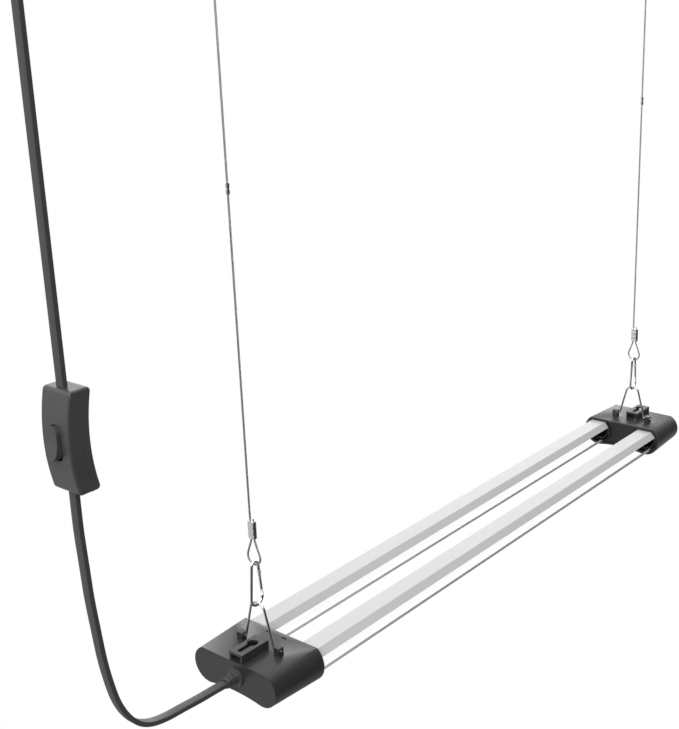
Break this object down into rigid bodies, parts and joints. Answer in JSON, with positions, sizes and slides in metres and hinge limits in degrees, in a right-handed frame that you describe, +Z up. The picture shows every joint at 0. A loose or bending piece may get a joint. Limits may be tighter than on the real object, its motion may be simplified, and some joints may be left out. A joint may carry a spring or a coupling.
{
  "type": "led grow light bar",
  "caption": "Hanging twin-tube LED grow light with black end caps, steel cables, snap hooks, screw hooks, and a flat cord with an inline rocker switch.",
  "frame": {"origin": "where the near screw hook's shank passes the ceiling's surface", "axes": "+X along the light from the feed cap to the plain cap, +Z up out of the ceiling"},
  "size_m": [0.808, 0.083, 0.5855],
  "materials": {
    "hook_steel": "bright plated steel",
    "cable_steel": "stranded steel cable",
    "ferrule_steel": "satin crimped metal",
    "bail_steel": "bright drawn wire",
    "cap_black": "black moulded plastic, satin",
    "plate_black": "black moulded plastic, matt",
    "housing_aluminium": "satin anodised",
    "clear_cover": "clear polycarbonate, glossy",
    "led_board_white": "white solder mask",
    "led_yellow": "phosphor in a clear lens",
    "board_green": "green circuit board",
    "winding_yellow": "taped winding",
    "capacitor_grey": "sleeved can",
    "wire_red": "insulated wire",
    "cord_black": "black flexible cord, satin",
    "switch_black": "dark grey moulded plastic",
    "rocker_black": "black moulded plastic",
    "contact_brass": "bare brass",
    "screw_steel": "zinc plated"
  },
  "bodies": {
    "ceiling": {"near_ceiling_hook": "hook_steel", "far_ceiling_hook": "hook_steel"},
    "near_hanger": {"near_cable": "cable_steel", "near_ferrules": "ferrule_steel", "near_cable_joint": "ferrule_steel", "near_snap_hook": "hook_steel", "near_bail": "bail_steel"},
    "far_hanger": {"far_cable": "cable_steel", "far_ferrules": "ferrule_steel", "far_cable_joint": "ferrule_steel", "far_snap_hook": "hook_steel", "far_bail": "bail_steel"},
    "near_gate": {"near_hook_gate": "hook_steel"},
    "far_gate": {"far_hook_gate": "hook_steel"},
    "rocker": {"switch_rocker": "rocker_black"},
    "light": {"feed_end_cap": "cap_black", "plain_end_cap": "cap_black", "feed_socket_plate": "plate_black", "plain_socket_plate": "plate_black", "left_housing": "housing_aluminium", "right_housing": "housing_aluminium", "left_clear_cover": "clear_cover", "right_clear_cover": "clear_cover", "left_led_board": "led_board_white", "right_led_board": "led_board_white", "left_leds": "led_yellow", "right_leds": "led_yellow", "driver_board": "board_green", "driver_transformer": "winding_yellow", "driver_capacitors": "capacitor_grey", "lead_wires": "wire_red", "cord_gland": "cord_black", "lower_cord": "cord_black", "upper_cord": "cord_black", "cord_coil": "cord_black", "coil_tie": "cord_black", "switch_front_shell": "switch_black", "switch_back_shell": "switch_black", "switch_contacts": "contact_brass", "switch_screws": "screw_steel", "plug_body": "cord_black", "plug_blades": "contact_brass"}
  },
  "joints": [
    {"name": "near_hanger_swing", "type": "hinge", "parent": "ceiling", "child": "near_hanger", "pos_m": [0, 0, -0.018], "axis": [0, 1, 0], "range_deg": [-8, 8]},
    {"name": "far_hanger_swing", "type": "hinge", "parent": "ceiling", "child": "far_hanger", "pos_m": [0.555, 0, -0.018], "axis": [0, 1, 0], "range_deg": [-8, 8]},
    {"name": "light_pivot", "type": "hinge", "parent": "near_hanger", "child": "light", "pos_m": [0, 0, -0.5337], "axis": [0, 1, 0], "range_deg": [-8, 8]},
    {"name": "near_gate_opening", "type": "hinge", "parent": "near_hanger", "child": "near_gate", "pos_m": [0.00373, 0, -0.47999], "axis": [0, 1, 0], "range_deg": [0, 24], "stiffness_Nm_per_rad": 0.002, "springref_deg": -17.19},
    {"name": "far_gate_opening", "type": "hinge", "parent": "far_hanger", "child": "far_gate", "pos_m": [0.55873, 0, -0.47999], "axis": [0, 1, 0], "range_deg": [0, 24], "stiffness_Nm_per_rad": 0.002, "springref_deg": -17.19},
    {"name": "rocker_flip", "type": "hinge", "parent": "light", "child": "rocker", "pos_m": [-0.14549, 0, -0.335], "axis": [0, 1, 0], "range_deg": [-14, 0]}
  ],
  "couplings": [
    {"joint": "far_hanger_swing", "follows": "near_hanger_swing", "ratio": 1},
    {"joint": "light_pivot", "follows": "near_hanger_swing", "ratio": -1}
  ]
}
